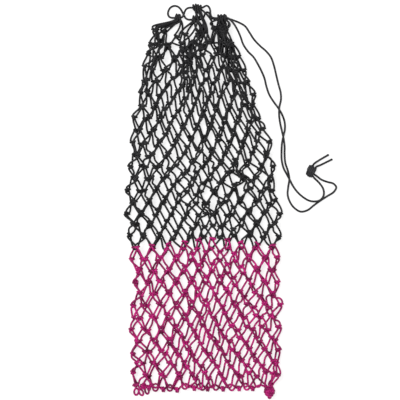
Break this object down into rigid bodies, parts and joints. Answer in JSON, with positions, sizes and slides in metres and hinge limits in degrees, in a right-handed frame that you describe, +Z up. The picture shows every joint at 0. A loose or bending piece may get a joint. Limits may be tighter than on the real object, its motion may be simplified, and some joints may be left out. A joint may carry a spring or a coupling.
{
  "type": "hay net",
  "caption": "Knotted twine hay net lying flat and empty, black above and pink below, laced along the bottom, with a doubled drawstring through its gathered mouth.",
  "frame": {"origin": "on the floor under the middle of the flat net, without the free drawstring legs", "axes": "+X right across the net, +Y from the laced bottom to the mouth, +Z up from the floor"},
  "size_m": [0.5813, 1.0746, 0.0284],
  "materials": {
    "black_twine": "black braided polypropylene twine, slightly fuzzy, satin",
    "pink_twine": "magenta pink braided polypropylene twine, satin",
    "drawstring_cord": "black braided cord, satin",
    "melted_ends": "cord ends melted to a hard bead"
  },
  "bodies": {
    "net": {"mouth_loop_row": "black_twine", "black_mesh_row_01": "black_twine", "black_mesh_row_02": "black_twine", "black_mesh_row_03": "black_twine", "black_mesh_row_04": "black_twine", "black_mesh_row_05": "black_twine", "black_mesh_row_06": "black_twine", "black_mesh_row_07": "black_twine", "black_mesh_row_08": "black_twine", "black_mesh_row_09": "black_twine", "black_mesh_row_10": "black_twine", "black_mesh_row_11": "black_twine", "black_mesh_row_12": "black_twine", "black_mesh_row_13": "black_twine", "black_mesh_row_14": "black_twine", "black_mesh_row_15": "black_twine", "black_mesh_row_16": "black_twine", "black_mesh_row_17": "black_twine", "black_mesh_row_18": "black_twine", "pink_mesh_row_01": "pink_twine", "pink_mesh_row_02": "pink_twine", "pink_mesh_row_03": "pink_twine", "pink_mesh_row_04": "pink_twine", "pink_mesh_row_05": "pink_twine", "pink_mesh_row_06": "pink_twine", "pink_mesh_row_07": "pink_twine", "pink_mesh_row_08": "pink_twine", "pink_mesh_row_09": "pink_twine", "pink_mesh_row_10": "pink_twine", "pink_mesh_row_11": "pink_twine", "pink_mesh_row_12": "pink_twine", "mouth_bunch_left": "black_twine", "mouth_bunch_middle_front": "black_twine", "mouth_bunch_middle_back": "black_twine", "mouth_bunch_right_front": "black_twine", "mouth_bunch_right_back": "black_twine", "bottom_lacing": "pink_twine", "bottom_corner_knot": "pink_twine", "bottom_tie_knot": "pink_twine"},
    "drawstring": {"drawstring_mouth_run": "drawstring_cord", "drawstring_leg_a": "drawstring_cord", "drawstring_leg_b": "drawstring_cord", "drawstring_tail_a": "drawstring_cord", "drawstring_tail_b": "drawstring_cord", "stopper_knot": "drawstring_cord", "sealed_end_a": "melted_ends", "sealed_end_b": "melted_ends"}
  },
  "joints": [
    {"name": "drawstring_slide", "type": "slide", "parent": "net", "child": "drawstring", "axis": [1, 0, 0], "range_m": [0, 0.01]}
  ]
}
